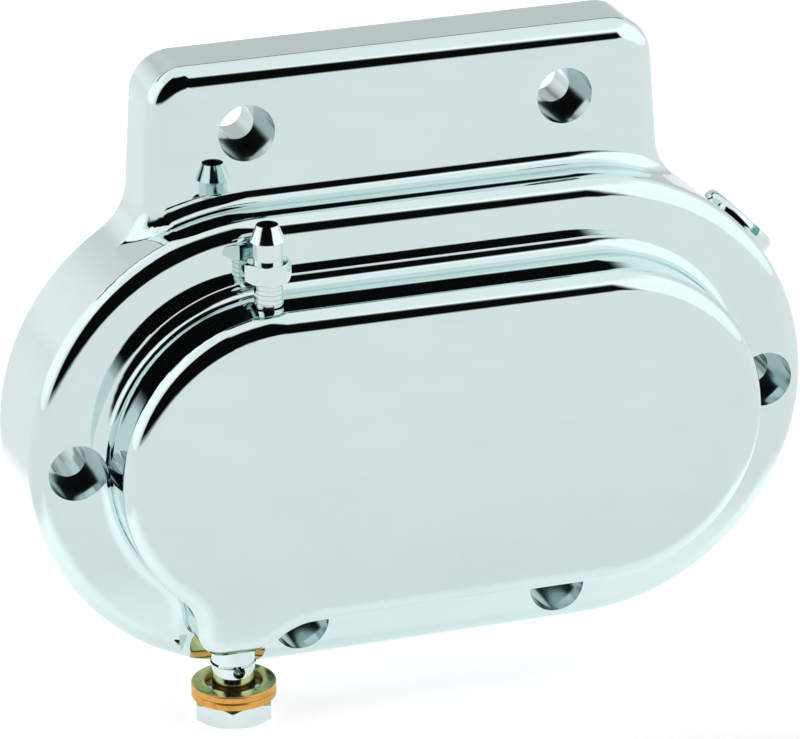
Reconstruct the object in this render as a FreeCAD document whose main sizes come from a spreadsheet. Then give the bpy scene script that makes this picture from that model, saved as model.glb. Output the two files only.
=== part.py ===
import FreeCAD, Part
import Sketcher

import math
import os
import re

# Chromed side cover of a motorcycle gearbox with the hydraulic clutch release cylinder inside it.
# +X is to the right and +Z up as the cover is seen from outside; its outside looks along -Y.
# The origin is on the mounting face, midway between the two lobes of the outline.
# Depths are distances in front of the mounting face, along -Y.

doc = FreeCAD.newDocument("ClutchReleaseCover")
sheet = doc.addObject("Spreadsheet::Sheet", "sizes")

SIZES = [
    # Cover outline: two round lobes and a square tab above them.
    ("lobe_offset", 32.3, "from the middle to each lobe's centre, along X"),
    ("lobe_radius", 45.75, "outer radius of a lobe"),
    ("ring_depth", 25.75, "mounting face to the flange's front face"),
    ("tab_depth", 14.9, "mounting face to the tab's front face"),
    ("tab_top", 73.0, "height of the tab's top edge"),
    ("tab_half_width", 49.9, "half the tab's width at its top edge"),
    ("tab_taper", 3.8, "lean of each tab side, in degrees"),
    ("tab_corner", 8.0, "radius of the tab's top corners"),
    ("tab_blend", 12.0, "radius where a tab side runs into its lobe"),
    ("outer_edge", 4.0, "round on the front edges"),
    ("foot_round", 3.0, "hollow round at the foot of a step"),
    # Raised boss with the port bulge at its lower left.
    ("boss_offset", 32.0, "from the middle to the centre of each boss end"),
    ("boss_radius", 31.9, "radius of the boss ends"),
    ("boss_rise", 15.05, "flange's front face to the boss's front face"),
    ("bulge_side", 50.0, "from the middle to the bulge's flat side"),
    ("bulge_drop", 4.5, "how far the port face lies below the boss"),
    ("bulge_corner", 5.0, "radius of the bulge's lower corner"),
    ("bulge_blend", 10.0, "hollow radius between boss end and bulge side"),
    ("bulge_sweep", 12.0, "radius of both curves from the port face to the boss"),
    ("bulge_face_end", 41.0, "from the middle to the inner end of the port face"),
    # Six counterbored screw holes.
    ("screw_hole", 3.4, "radius of a screw hole"),
    ("screw_head", 5.55, "radius of its counterbore"),
    ("screw_head_depth", 7.0, "depth of the counterbore"),
    ("screw_boss", 8.0, "radius of the metal round a screw hole"),
    ("screw_gap", 0.1, "counterbore to the boss's wall"),
    ("bottom_hole_offset", 26.2, "from the middle to each bottom hole"),
    ("tab_hole_offset", 31.7, "from the middle to each tab hole"),
    ("tab_hole_drop", 13.45, "tab's top edge to its holes"),
    # Hollow back.
    ("rim_width", 9.5, "width of the mounting face round the hollow"),
    ("ring_wall", 5.25, "metal left in front of the channel"),
    ("boss_wall", 5.0, "metal left in front of the deep hollow"),
    ("boss_side_wall", 5.5, "metal left round the deep hollow"),
    ("deep_start", 22.4, "from the middle to the deep hollow's left centre"),
    # Release cylinder.
    ("cylinder_x", 33.45, "from the middle to the cylinder's axis, to the left"),
    ("bore_radius", 17.46, "radius of the cylinder bore"),
    ("bore_wall", 4.8, "metal left in front of the bore"),
    ("cylinder_wall", 6.04, "thickness of the cylinder's wall"),
    ("cylinder_recess", 5.0, "mounting face to the cylinder's mouth"),
    # Piston.
    ("piston_clearance", 0.04, "radial gap between piston and bore"),
    ("piston_back", 10.4, "depth of the piston's back face at rest"),
    ("piston_length", 16.6, "length of the piston"),
    ("nose_length", 4.0, "length of its narrow nose"),
    ("nose_step", 3.96, "radial step from the bore in to the nose"),
    ("seal_gap", 0.02, "radial gap left round each seal"),
    ("primary_start", 7.4, "back face to the main seal's groove"),
    ("primary_width", 3.6, "width of the main seal's groove"),
    ("primary_depth", 3.56, "bore to the floor of the main seal's groove"),
    ("lip_taper", 0.4, "how much smaller the main seal is at its back"),
    ("lip_edge", 0.3, "width of the bevel on the main seal's lips"),
    ("lip_edge_length", 0.6, "length of that bevel"),
    ("secondary_start", 3.6, "back face to the second seal's groove"),
    ("secondary_width", 2.6, "width of the second seal's groove"),
    ("secondary_depth", 2.46, "bore to the floor of the second seal's groove"),
    ("wiper_start", 1.0, "back face to the wiper's groove"),
    ("wiper_width", 1.4, "width of the wiper's groove"),
    ("wiper_depth", 1.46, "bore to the floor of the wiper's groove"),
    ("nose_wall", 3.0, "thickness of the nose round the spring's pocket"),
    ("spring_pocket_depth", 5.7, "depth of the spring's pocket"),
    ("web_recess", 6.8, "radius of the recess behind the bearing"),
    ("web_recess_depth", 1.9, "depth of that recess"),
    # Circlip that keeps the piston in.
    ("circlip_gap", 0.05, "circlip to the piston's back face"),
    ("circlip_thickness", 1.2, "thickness of the circlip"),
    ("circlip_play", 0.05, "groove wider than the circlip, each side"),
    ("circlip_bite", 1.14, "depth of its groove in the bore wall"),
    ("circlip_width", 2.9, "radial width of the circlip"),
    ("circlip_opening", 10.0, "width of the circlip's gap"),
    ("circlip_ear", 1.9, "radius of each ear"),
    ("circlip_ear_hole", 0.8, "radius of the hole in each ear"),
    # Return spring.
    ("spring_wire", 0.6, "radius of the spring's wire"),
    ("spring_room", 1.3, "gap between its coils and the pocket's wall"),
    ("spring_turns", 4.0, "number of turns"),
    # Release bearing and the button that the clutch rod pushes on.
    ("bearing_outer", 11.0, "outer radius of the bearing"),
    ("bearing_inner", 4.0, "bore radius of the bearing"),
    ("bearing_width", 7.0, "width of the bearing"),
    ("outer_race_wall", 1.9, "radial thickness of the outer race"),
    ("inner_race_wall", 2.05, "radial thickness of the inner race"),
    ("ball_radius", 1.984, "radius of a ball"),
    ("ball_play", 0.04, "gap between ball and groove"),
    ("cage_play", 0.12, "gap between ball and cage"),
    ("cage_set_back", 1.0, "bearing's side faces to the cage"),
    ("cage_thickness", 1.7, "radial thickness of the cage"),
    ("shield_thickness", 0.4, "thickness of the shield"),
    ("shield_step", 0.6, "depth of the step the shield sits in"),
    ("shield_seat", 0.5, "radial width of that step"),
    ("shield_reach", 3.2, "radial width of the shield"),
    ("button_shoulder", 5.6, "radius of the button's shoulder"),
    ("button_shoulder_height", 0.5, "height of the shoulder"),
    ("button_head", 7.0, "radius of the button's head"),
    ("button_head_height", 3.5, "height of the head"),
    ("button_bevel", 0.6, "bevel on the head's edge"),
    ("button_cup", 3.4, "radius of the cup for the rod"),
    ("button_cup_floor", 2.04, "radius of the cup's flat floor"),
    ("button_cup_depth", 1.8, "depth of the cup"),
    ("button_tail", 1.4, "stem past the bearing's front face"),
    ("snap_groove", 0.5, "depth of the snap ring's groove in the stem"),
    ("snap_thickness", 0.6, "thickness of the snap ring"),
    ("snap_outer", 5.8, "outer radius of the snap ring"),
    ("snap_gap", 0.05, "snap ring to the race"),
    ("snap_opening", 3.0, "width of the snap ring's gap"),
    ("ball_count", 7, "number of balls"),
    # Ports: both lie in one plane, in front of the flange.
    ("port_rise", 7.25, "flange's front face to the axes of bleeder and hose bolt"),
    ("thread_clearance", 0.05, "radial gap between a screw and its hole"),
    ("hex_bevel", 0.1, "height of a hexagon's corner bevels, as a share of its flats"),
    ("hex_face", 0.48, "radius of a hexagon's round end face, as a share of its flats"),
    # Bleeder screw.
    ("bleeder_x", 33.45, "from the middle to the bleeder's axis, to the left"),
    ("bleeder_thread", 3.175, "radius of the bleeder's thread"),
    ("bleeder_stand", 5.0, "boss to the underside of the bleeder's hexagon"),
    ("bleeder_flats", 7.94, "hexagon across flats"),
    ("bleeder_hex_height", 3.9, "height of the hexagon"),
    ("bleeder_tip", 21.0, "height of the cone's tip"),
    ("bleeder_tip_radius", 0.9, "radius of the cone's tip"),
    ("bleeder_relief", 2.3, "radius between cone and thread"),
    ("bleeder_relief_length", 1.0, "length of that stretch"),
    ("bleeder_neck", 2.75, "radius of the nipple's neck"),
    ("bleeder_neck_height", 3.7, "height of the neck"),
    ("bleeder_barb", 3.33, "radius of the nipple's barb"),
    ("bleeder_barb_step", 0.3, "height from neck to barb"),
    ("bleeder_nose", 2.07, "radius of the nipple's end"),
    ("bleeder_nose_height", 3.1, "height of the nipple's cone"),
    ("bleeder_bore", 1.3, "radius of the drilling in the bleeder"),
    ("bleeder_cross", 0.7, "radius of its cross drilling"),
    ("bleeder_turned", 1.4, "turn of the hexagon's first corner from X, in degrees"),
    ("seat_gap", 0.04, "gap between cone and seat"),
    ("passage_radius", 1.25, "radius of the drilling from seat to bore"),
    # Hose bolt and its washers.
    ("bolt_x", 42.15, "from the middle to the hose bolt's axis, to the left"),
    ("bolt_thread", 4.7625, "radius of the bolt's thread"),
    ("bolt_shank", 4.15, "radius of the plain shank"),
    ("hose_gap", 7.5, "port face to the upper washer"),
    ("washer_thickness", 1.45, "thickness of a washer"),
    ("washer_outer", 8.2, "outer radius of a washer"),
    ("washer_inner", 5.45, "inner radius of a washer"),
    ("bolt_flats", 14.3, "hexagon across flats"),
    ("bolt_head_height", 4.4, "height of the head"),
    ("bolt_collar", 5.1, "radius of the collar on the head"),
    ("bolt_collar_height", 1.6, "height of the collar"),
    ("bolt_length", 20.0, "head to tip"),
    ("bolt_thread_start", 3.0, "port face to the end of the thread"),
    ("bolt_bore", 1.75, "radius of the drilling up the bolt"),
    ("bolt_cross", 1.2, "radius of the cross drilling"),
    ("bolt_cross_drop", 4.4, "port face to the cross drilling"),
    ("bolt_turned", 12.2, "turn of the hexagon's first corner from X, in degrees"),
    ("port_length", 17.6, "length of the tapped hole"),
    ("port_passage", 2.0, "radius of the drilling from port to bore"),
    ("port_relief", 11.2, "radius cleared in the flange below the port"),
    # Filler plug, set square to a slanting axis in the right lobe.
    ("filler_angle", 45.0, "rise of the plug's axis from X, in degrees"),
    ("filler_reach", 44.0, "lobe's centre to the plug's seat, along that axis"),
    ("filler_shift", 5.1, "plug's axis to the lobe's centre, square to it"),
    ("filler_depth", 12.9, "mounting face to the plug's axis"),
    ("filler_thread", 6.35, "radius of the plug's thread"),
    ("filler_thread_length", 9.0, "length of the thread"),
    ("filler_tip_bevel", 0.8, "bevel on the thread's end"),
    ("filler_head", 8.25, "radius of the plug's head"),
    ("filler_head_height", 3.7, "height of the head"),
    ("filler_head_round", 1.6, "round on the head's edge"),
    ("filler_slot", 0.95, "half the width of the slot"),
    ("filler_slot_depth", 1.7, "depth of the slot"),
    ("filler_face", 0.45, "spot face wider than the head"),
    ("filler_face_reach", 8.0, "how far outward the spot face is cut"),
    ("filler_run_out", 4.0, "filler hole drilled past the rim's inner side"),
    ("oring_section", 0.7, "half the thickness of the plug's O-ring"),
    ("oring_play", 0.02, "gap round the O-ring"),
]

# Sizes that follow from the ones above; each may use those before it.
DERIVED = [
    ("boss_depth", "ring_depth + boss_rise"),
    ("port_depth", "ring_depth + port_rise"),
    ("bore_floor", "boss_depth - bore_wall"),
    ("cylinder_outer", "bore_radius + cylinder_wall"),
    ("primary_floor", "bore_radius - primary_depth"),
    ("secondary_floor", "bore_radius - secondary_depth"),
    ("wiper_floor", "bore_radius - wiper_depth"),
    ("nose_radius", "bore_radius - nose_step"),
    ("spring_pocket", "nose_radius - nose_wall"),
    ("spring_radius", "spring_pocket - spring_room - spring_wire"),
    ("cage_width", "bearing_width - 2 * cage_set_back"),
]

# FAR is longer than the cover; PAST is how far a cut's outline runs past the metal.
# Places closer together than CLOSE count as the same place.
ALIASES = re.compile(r"\b(" + "|".join(alias for alias, _, _ in SIZES) + r")\b")
FAR = "200"
PAST = "1"
CLOSE = 1e-3


# ---------------------------------------------------------------- sheet and drawing helpers
def write_sizes():
    """Fill the sheet: a note, a value and its alias on each row."""
    for row, (alias, amount, note) in enumerate(SIZES, start=1):
        sheet.set(f"A{row}", note)
        sheet.set(f"B{row}", str(amount))
        sheet.setAlias(f"B{row}", alias)
    doc.recompute()


def formula(text):
    """The expression for text, with each size read from the sheet."""
    for name, meaning in reversed(DERIVED):
        text = re.sub(rf"\b{name}\b", f"({meaning})", text)
    return ALIASES.sub(r"sizes.\1", text)


def value(text):
    """What text comes to with the sheet's present sizes."""
    return float(sheet.evalExpression(formula(text)))


def bind(item, path, text):
    item.setExpression(path, formula(text))


def vector(across, up):
    return FreeCAD.Vector(across, up, 0)


def new_body(label):
    body = doc.addObject("PartDesign::Body", label)
    body.Label = label
    return body


def place(item, across="0", deep="0", up="0", axis=(0, 0, 1), turn="0"):
    """Stand a sub-part in the cover: deep is measured in front of the mounting face."""
    item.Placement = FreeCAD.Placement(
        FreeCAD.Vector(0, 0, 0), FreeCAD.Rotation(FreeCAD.Vector(*axis), value(turn)))
    bind(item, "Placement.Base.x", across)
    bind(item, "Placement.Base.y", f"-({deep})")
    bind(item, "Placement.Base.z", up)
    bind(item, "Placement.Rotation.Angle", turn)


def new_sketch(body, name, role, offset=("0", "0", "0"), turn="0"):
    """A sketch on one of the body's own planes, moved and turned within it."""
    sketch = body.newObject("Sketcher::SketchObject", name)
    plane = [part for part in body.Origin.OriginFeatures if part.Role == role][0]
    sketch.AttachmentSupport = [(plane, "")]
    sketch.MapMode = "FlatFace"
    sketch.AttachmentOffset = FreeCAD.Placement(
        FreeCAD.Vector(0, 0, 0), FreeCAD.Rotation(FreeCAD.Vector(0, 0, 1), value(turn)))
    for coordinate, text in zip("xyz", offset):
        bind(sketch, f"AttachmentOffset.Base.{coordinate}", text)
    bind(sketch, "AttachmentOffset.Rotation.Angle", turn)
    return sketch


def pin_point(sketch, shape, spot, across=None, up=None):
    """Hold a point of a sketch at the given distances from the sketch's origin."""
    for axis, kind, text in ((-2, "DistanceX", across), (-1, "DistanceY", up)):
        if text is None:
            continue
        distance = value(text)
        if abs(distance) < CLOSE:
            sketch.addConstraint(Sketcher.Constraint("PointOnObject", shape, spot, axis))
            continue
        index = sketch.addConstraint(Sketcher.Constraint(kind, -1, 1, shape, spot, distance))
        bind(sketch, f"Constraints[{index}]", text)


def set_radius(sketch, shape, text):
    index = sketch.addConstraint(Sketcher.Constraint("Radius", shape, value(text)))
    bind(sketch, f"Constraints[{index}]", text)


def draw_circle(sketch, across, up, radius):
    centre = FreeCAD.Vector(value(across), value(up), 0)
    shape = sketch.addGeometry(Part.Circle(centre, FreeCAD.Vector(0, 0, 1), value(radius)))
    pin_point(sketch, shape, 3, across, up)
    set_radius(sketch, shape, radius)


def draw_polygon(sketch, points):
    """A closed outline of straight lines through points given as pairs of formulas."""
    spots = [vector(value(across), value(up)) for across, up in points]
    shapes = [sketch.addGeometry(Part.LineSegment(start, end))
              for start, end in zip(spots, spots[1:] + spots[:1])]
    for shape, following in zip(shapes, shapes[1:] + shapes[:1]):
        sketch.addConstraint(Sketcher.Constraint("Coincident", shape, 2, following, 1))
    for shape, (across, up) in zip(shapes, points):
        pin_point(sketch, shape, 1, across, up)


def line(start, end):
    return ("line", start, end)


def arc(centre, start, end, turn):
    """An arc about centre; turn is +1 for anticlockwise and -1 for clockwise."""
    return ("arc", start, end, centre, turn)


def draw_loop(sketch, pieces):
    """Draw a closed loop of lines and arcs, each tangent to the next."""
    ends = []
    for piece in pieces:
        kind, start, end = piece[:3]
        if kind == "line":
            shape = sketch.addGeometry(Part.LineSegment(start, end))
            ends.append((shape, 1, 2))
            continue
        centre, turn = piece[3:]
        first, last = (start, end) if turn > 0 else (end, start)
        angles = [math.atan2(spot.y - centre.y, spot.x - centre.x) for spot in (first, last)]
        circle = Part.Circle(centre, FreeCAD.Vector(0, 0, 1), (start - centre).Length)
        shape = sketch.addGeometry(Part.ArcOfCircle(circle, *angles))
        ends.append((shape, 1, 2) if turn > 0 else (shape, 2, 1))
    for (shape, _, tail), (following, head, _) in zip(ends, ends[1:] + ends[:1]):
        sketch.addConstraint(Sketcher.Constraint("Tangent", shape, tail, following, head))
    return [shape for shape, _, _ in ends]


# ---------------------------------------------------------------- feature helpers
def pad(body, name, sketch, length):
    feature = body.newObject("PartDesign::Pad", name)
    feature.Profile = sketch
    bind(feature, "Length", length)
    doc.recompute()
    return feature


def cut_checked(body, feature, before):
    """A cut has to take metal away."""
    doc.recompute()
    if body.Shape.Volume >= before - CLOSE:
        raise RuntimeError(f"{feature.Label} cuts nothing")
    return feature


def pocket(body, name, sketch, length, forward=False, both_ways=False):
    """Cut a sketch away: forward follows the sketch's normal, and the default goes against it."""
    doc.recompute()
    before = body.Shape.Volume
    feature = body.newObject("PartDesign::Pocket", name)
    feature.Profile = sketch
    feature.Reversed = forward
    feature.SideType = "Symmetric" if both_ways else "One side"
    bind(feature, "Length", length)
    return cut_checked(body, feature, before)


def profile_sketch(body, name, points, axis="0", offset=("0", "0", "0"), turn="0"):
    """Half section of a turned shape, as (radius, height) pairs, with its axis drawn first."""
    sketch = new_sketch(body, name, "XZ_Plane", offset, turn)
    centre = value(axis)
    centre_line = sketch.addGeometry(Part.LineSegment(vector(centre, 0), vector(centre, 1)), True)
    pin_point(sketch, centre_line, 1, axis, "0")
    pin_point(sketch, centre_line, 2, axis, "1")
    draw_polygon(sketch, [(f"({axis}) + ({radius})", height) for radius, height in points])
    return sketch


def revolve(body, name, sketch, kind="PartDesign::Revolution"):
    before = body.Shape.Volume if kind == "PartDesign::Groove" else 0
    feature = body.newObject(kind, name)
    feature.Profile = sketch
    feature.ReferenceAxis = (sketch, ["Axis0"])
    feature.Angle = 360
    if kind == "PartDesign::Groove":
        return cut_checked(body, feature, before)
    doc.recompute()
    return feature


def turn_piece(label, points):
    """A body turned about its own Z axis from (radius, height) pairs."""
    body = new_body(label)
    revolve(body, f"{label}_turning", profile_sketch(body, f"{label}_section", points))
    return body


def turn_groove(body, name, points, **where):
    doc.recompute()
    return revolve(body, name, profile_sketch(body, f"{name}_section", points, **where),
                   "PartDesign::Groove")


def add_hexagon(body, name, flats, bottom, height, turn):
    """A hexagon about Z with its corners turned off at 30 degrees top and bottom."""
    sketch = new_sketch(body, f"{name}_sketch", "XY_Plane", ("0", "0", bottom))
    corner = f"({flats}) / sqrt(3)"
    angles = [f"({turn} + {side} * 60)" for side in range(6)]
    draw_polygon(sketch, [(f"{corner} * cos{angle}", f"{corner} * sin{angle}") for angle in angles])
    pad(body, name, sketch, height)
    bevel = f"({flats}) * hex_bevel"
    edge = f"({flats}) * hex_face"
    outside = f"{edge} + {bevel} / tan(30)"
    top = f"({bottom}) + ({height})"
    turn_groove(body, f"{name}_lower_bevel",
                [(edge, bottom), (outside, bottom), (outside, f"({bottom}) + {bevel}")])
    turn_groove(body, f"{name}_upper_bevel",
                [(edge, top), (outside, f"{top} - {bevel}"), (outside, top)])


def flat_edges(shape, depth, wanted):
    """Names of the edges that lie at one depth and pass a test on their middle's x and z."""
    names = []
    for number, edge in enumerate(shape.Edges, start=1):
        box = edge.BoundBox
        if abs(box.YMin + depth) > CLOSE or abs(box.YMax + depth) > CLOSE:
            continue
        middle = edge.valueAt((edge.FirstParameter + edge.LastParameter) / 2)
        if wanted(middle.x, middle.z):
            names.append(f"Edge{number}")
    return names


def fillet(body, name, edges, radius):
    feature = body.newObject("PartDesign::Fillet", name)
    feature.Base = (feature.BaseFeature, edges)
    bind(feature, "Radius", radius)
    doc.recompute()
    return feature


write_sizes()


# ---------------------------------------------------------------- cover body
def draw_stadium(sketch, start, end, radius):
    """Two half circles about (start, 0) and (end, 0), joined by straight lines."""
    left, right, size = value(start), value(end), value(radius)
    shapes = draw_loop(sketch, [
        arc(vector(right, 0), vector(right, -size), vector(right, size), 1),
        line(vector(right, size), vector(left, size)),
        arc(vector(left, 0), vector(left, size), vector(left, -size), 1),
        line(vector(left, -size), vector(right, -size)),
    ])
    for shape, centre in ((shapes[0], end), (shapes[2], start)):
        pin_point(sketch, shape, 3, centre, "0")
        set_radius(sketch, shape, radius)


def mirrored(point):
    return vector(-point.x, point.y)


def draw_tab_outline(sketch):
    """The lobes and the tab in one line, with the tab's sides running into the lobes."""
    lobe, size = vector(value("lobe_offset"), 0), value("lobe_radius")
    top, half = value("tab_top"), value("tab_half_width")
    corner, blend = value("tab_corner"), value("tab_blend")
    lean = math.radians(value("tab_taper"))
    outward = vector(math.cos(lean), math.sin(lean))
    downward = vector(math.sin(lean), -math.cos(lean))

    corner_centre = vector(half - corner * (1 - math.sin(lean)) / math.cos(lean), top - corner)
    corner_top = vector(corner_centre.x, top)
    corner_side = corner_centre + outward * corner

    # The blend's centre is its own radius out from the side and from the lobe.
    beside = vector(half, top) + outward * blend - lobe
    along = -beside.dot(downward)
    reach = math.sqrt(along ** 2 - beside.dot(beside) + (size + blend) ** 2)
    blend_centre = lobe + beside + downward * (along - reach)
    blend_side = blend_centre - outward * blend
    blend_lobe = lobe + (blend_centre - lobe) * (size / (size + blend))

    base = vector(lobe.x, -size)
    shapes = draw_loop(sketch, [
        arc(lobe, base, blend_lobe, 1),
        arc(blend_centre, blend_lobe, blend_side, -1),
        line(blend_side, corner_side),
        arc(corner_centre, corner_side, corner_top, 1),
        line(corner_top, mirrored(corner_top)),
        arc(mirrored(corner_centre), mirrored(corner_top), mirrored(corner_side), 1),
        line(mirrored(corner_side), mirrored(blend_side)),
        arc(mirrored(blend_centre), mirrored(blend_side), mirrored(blend_lobe), -1),
        arc(mirrored(lobe), mirrored(blend_lobe), mirrored(base), 1),
        line(mirrored(base), base),
    ])
    pin_point(sketch, shapes[0], 3, "lobe_offset", "0")
    pin_point(sketch, shapes[8], 3, "-lobe_offset", "0")
    for index, text in ((0, "lobe_radius"), (8, "lobe_radius"), (1, "tab_blend"), (7, "tab_blend"),
                        (3, "tab_corner"), (5, "tab_corner")):
        set_radius(sketch, shapes[index], text)
    sketch.addConstraint(Sketcher.Constraint("Horizontal", shapes[4]))
    pin_point(sketch, shapes[4], 1, None, "tab_top")


def draw_boss_outline(sketch):
    """The boss's two ends and the bulge round the hose port at its lower left."""
    offset, size = value("boss_offset"), value("boss_radius")
    side, drop = -value("bulge_side"), value("bulge_drop")
    corner, blend, sweep = value("bulge_corner"), value("bulge_blend"), value("bulge_sweep")
    left, base = vector(-offset, 0), -size - drop

    blend_x = side - blend
    blend_z = -math.sqrt((size + blend) ** 2 - (blend_x - left.x) ** 2)
    blend_centre = vector(blend_x, blend_z)
    blend_lobe = left + (blend_centre - left) * (size / (size + blend))
    face_end = vector(-value("bulge_face_end"), base)
    turn = math.acos(1 - drop / (2 * sweep))
    out_centre = vector(face_end.x, base + sweep)
    halfway = out_centre + vector(math.sin(turn), -math.cos(turn)) * sweep
    in_centre = vector(face_end.x + 2 * sweep * math.sin(turn), -size - sweep)

    shapes = draw_loop(sketch, [
        arc(vector(offset, 0), vector(offset, -size), vector(offset, size), 1),
        line(vector(offset, size), vector(-offset, size)),
        arc(left, vector(-offset, size), blend_lobe, 1),
        arc(blend_centre, blend_lobe, vector(side, blend_z), -1),
        line(vector(side, blend_z), vector(side, base + corner)),
        arc(vector(side + corner, base + corner), vector(side, base + corner),
            vector(side + corner, base), 1),
        line(vector(side + corner, base), face_end),
        arc(out_centre, face_end, halfway, 1),
        arc(in_centre, halfway, vector(in_centre.x, -size), -1),
        line(vector(in_centre.x, -size), vector(offset, -size)),
    ])
    pin_point(sketch, shapes[0], 3, "boss_offset", "0")
    pin_point(sketch, shapes[2], 3, "-boss_offset", "0")
    for index, text in ((0, "boss_radius"), (2, "boss_radius"), (3, "bulge_blend"),
                        (5, "bulge_corner"), (7, "bulge_sweep"), (8, "bulge_sweep")):
        set_radius(sketch, shapes[index], text)
    sketch.addConstraint(Sketcher.Constraint("Vertical", shapes[4]))
    pin_point(sketch, shapes[4], 1, "-bulge_side", None)
    sketch.addConstraint(Sketcher.Constraint("Horizontal", shapes[6]))
    pin_point(sketch, shapes[6], 2, "-bulge_face_end", "-boss_radius - bulge_drop")
    sketch.addConstraint(Sketcher.Constraint("Horizontal", shapes[9]))


SIDE_HOLE = "boss_offset + boss_radius + screw_head + screw_gap"
BOTTOM_HOLE = "-(boss_radius + screw_head + screw_gap)"
RING_HOLES = [(f"-({SIDE_HOLE})", "0"), (SIDE_HOLE, "0"),
              ("-bottom_hole_offset", BOTTOM_HOLE), ("bottom_hole_offset", BOTTOM_HOLE)]
TAB_HOLES = [("-tab_hole_offset", "tab_top - tab_hole_drop"),
             ("tab_hole_offset", "tab_top - tab_hole_drop")]
CHANNEL_DEPTH = "ring_depth - ring_wall"
PORT_FACE = "-(boss_radius + bulge_drop)"
FILLER_X = "lobe_offset + filler_reach * cos(filler_angle) + filler_shift * sin(filler_angle)"
FILLER_Z = "filler_reach * sin(filler_angle) - filler_shift * cos(filler_angle)"


def on_rim(x, z):
    """True on the outline of the two lobes."""
    beyond = max(abs(x) - value("lobe_offset"), 0)
    return abs(math.hypot(beyond, z) - value("lobe_radius")) < CLOSE


def inside_rim(x, z):
    return not on_rim(x, z)


def anywhere(x, z):
    return True


def outside_boss(shape):
    """Names of the edges where the boss's wall stands on the flange's front face."""
    limit = value("lobe_radius - outer_edge") - CLOSE
    names = []
    for number, edge in enumerate(shape.Edges, start=1):
        middle = edge.valueAt((edge.FirstParameter + edge.LastParameter) / 2)
        beyond = max(abs(middle.x) - value("lobe_offset"), 0)
        if math.hypot(beyond, middle.z) < limit:
            names.append(f"Edge{number}")
    return names


def build_cover_outside(cover):
    """Plate with the tab, flange ring and boss, with rounded steps and edges."""
    outline = new_sketch(cover, "plate_outline", "XZ_Plane")
    draw_tab_outline(outline)
    plate = pad(cover, "plate", outline, "tab_depth")
    fillet(cover, "plate_edge", flat_edges(plate.Shape, value("tab_depth"), anywhere), "outer_edge")

    outline = new_sketch(cover, "ring_outline", "XZ_Plane")
    draw_stadium(outline, "-lobe_offset", "lobe_offset", "lobe_radius")
    pad(cover, "ring", outline, "ring_depth")
    outline = new_sketch(cover, "boss_outline", "XZ_Plane")
    draw_boss_outline(outline)
    boss = pad(cover, "boss", outline, "boss_depth")

    ring_edge = fillet(cover, "ring_edge",
                       flat_edges(boss.Shape, value("ring_depth"), on_rim), "outer_edge")
    boss_edge = fillet(cover, "boss_edge",
                       flat_edges(ring_edge.Shape, value("boss_depth"), anywhere), "outer_edge")
    foot_level = [name for name in flat_edges(boss_edge.Shape, value("ring_depth"), inside_rim)
                  if name in outside_boss(boss_edge.Shape)]
    boss_foot = fillet(cover, "boss_foot", foot_level, "foot_round")
    fillet(cover, "tab_foot", flat_edges(boss_foot.Shape, value("tab_depth"), on_rim), "foot_round")


def build_cover_hollow(cover):
    """Open the back: a channel round the cylinder, a deep hollow beside it, and screw bosses."""
    channel = new_sketch(cover, "channel_outline", "XZ_Plane")
    draw_stadium(channel, "-lobe_offset", "lobe_offset", "lobe_radius - rim_width")
    draw_circle(channel, "-cylinder_x", "0", "cylinder_outer")
    pocket(cover, "channel", channel, CHANNEL_DEPTH, forward=True)

    deep = new_sketch(cover, "deep_outline", "XZ_Plane")
    draw_stadium(deep, "deep_start", "boss_offset", "boss_radius - boss_side_wall")
    pocket(cover, "deep_hollow", deep, "boss_depth - boss_wall", forward=True)

    posts = new_sketch(cover, "screw_posts_sketch", "XZ_Plane")
    for across, up in RING_HOLES:
        draw_circle(posts, across, up, "screw_boss")
    pad(cover, "screw_posts", posts, CHANNEL_DEPTH)


def build_cover_holes(cover):
    """Screw holes and their counterbores."""
    through = new_sketch(cover, "screw_holes_sketch", "XZ_Plane")
    for across, up in RING_HOLES + TAB_HOLES:
        draw_circle(through, across, up, "screw_hole")
    pocket(cover, "screw_holes", through, FAR, forward=True)
    for name, holes, face in (("ring_counterbores", RING_HOLES, "ring_depth"),
                              ("tab_counterbores", TAB_HOLES, "tab_depth")):
        heads = new_sketch(cover, f"{name}_sketch", "XZ_Plane",
                           ("0", "0", f"{face} - screw_head_depth"))
        for across, up in holes:
            draw_circle(heads, across, up, "screw_head")
        pocket(cover, name, heads, "screw_head_depth + foot_round", forward=True)


def build_cylinder_bore(cover):
    """Cylinder mouth, bore and the circlip's groove."""
    for name, radius, start, length in (
            ("cylinder_mouth", f"cylinder_outer + {PAST}", "0", "cylinder_recess"),
            ("bore", "bore_radius", "0", "bore_floor"),
            ("circlip_groove", "bore_radius + circlip_bite",
             "piston_back - circlip_gap - circlip_thickness - circlip_play",
             "circlip_thickness + 2 * circlip_play")):
        sketch = new_sketch(cover, f"{name}_sketch", "XZ_Plane", ("0", "0", start))
        draw_circle(sketch, "-cylinder_x", "0", radius)
        pocket(cover, name, sketch, length, forward=True)


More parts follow.
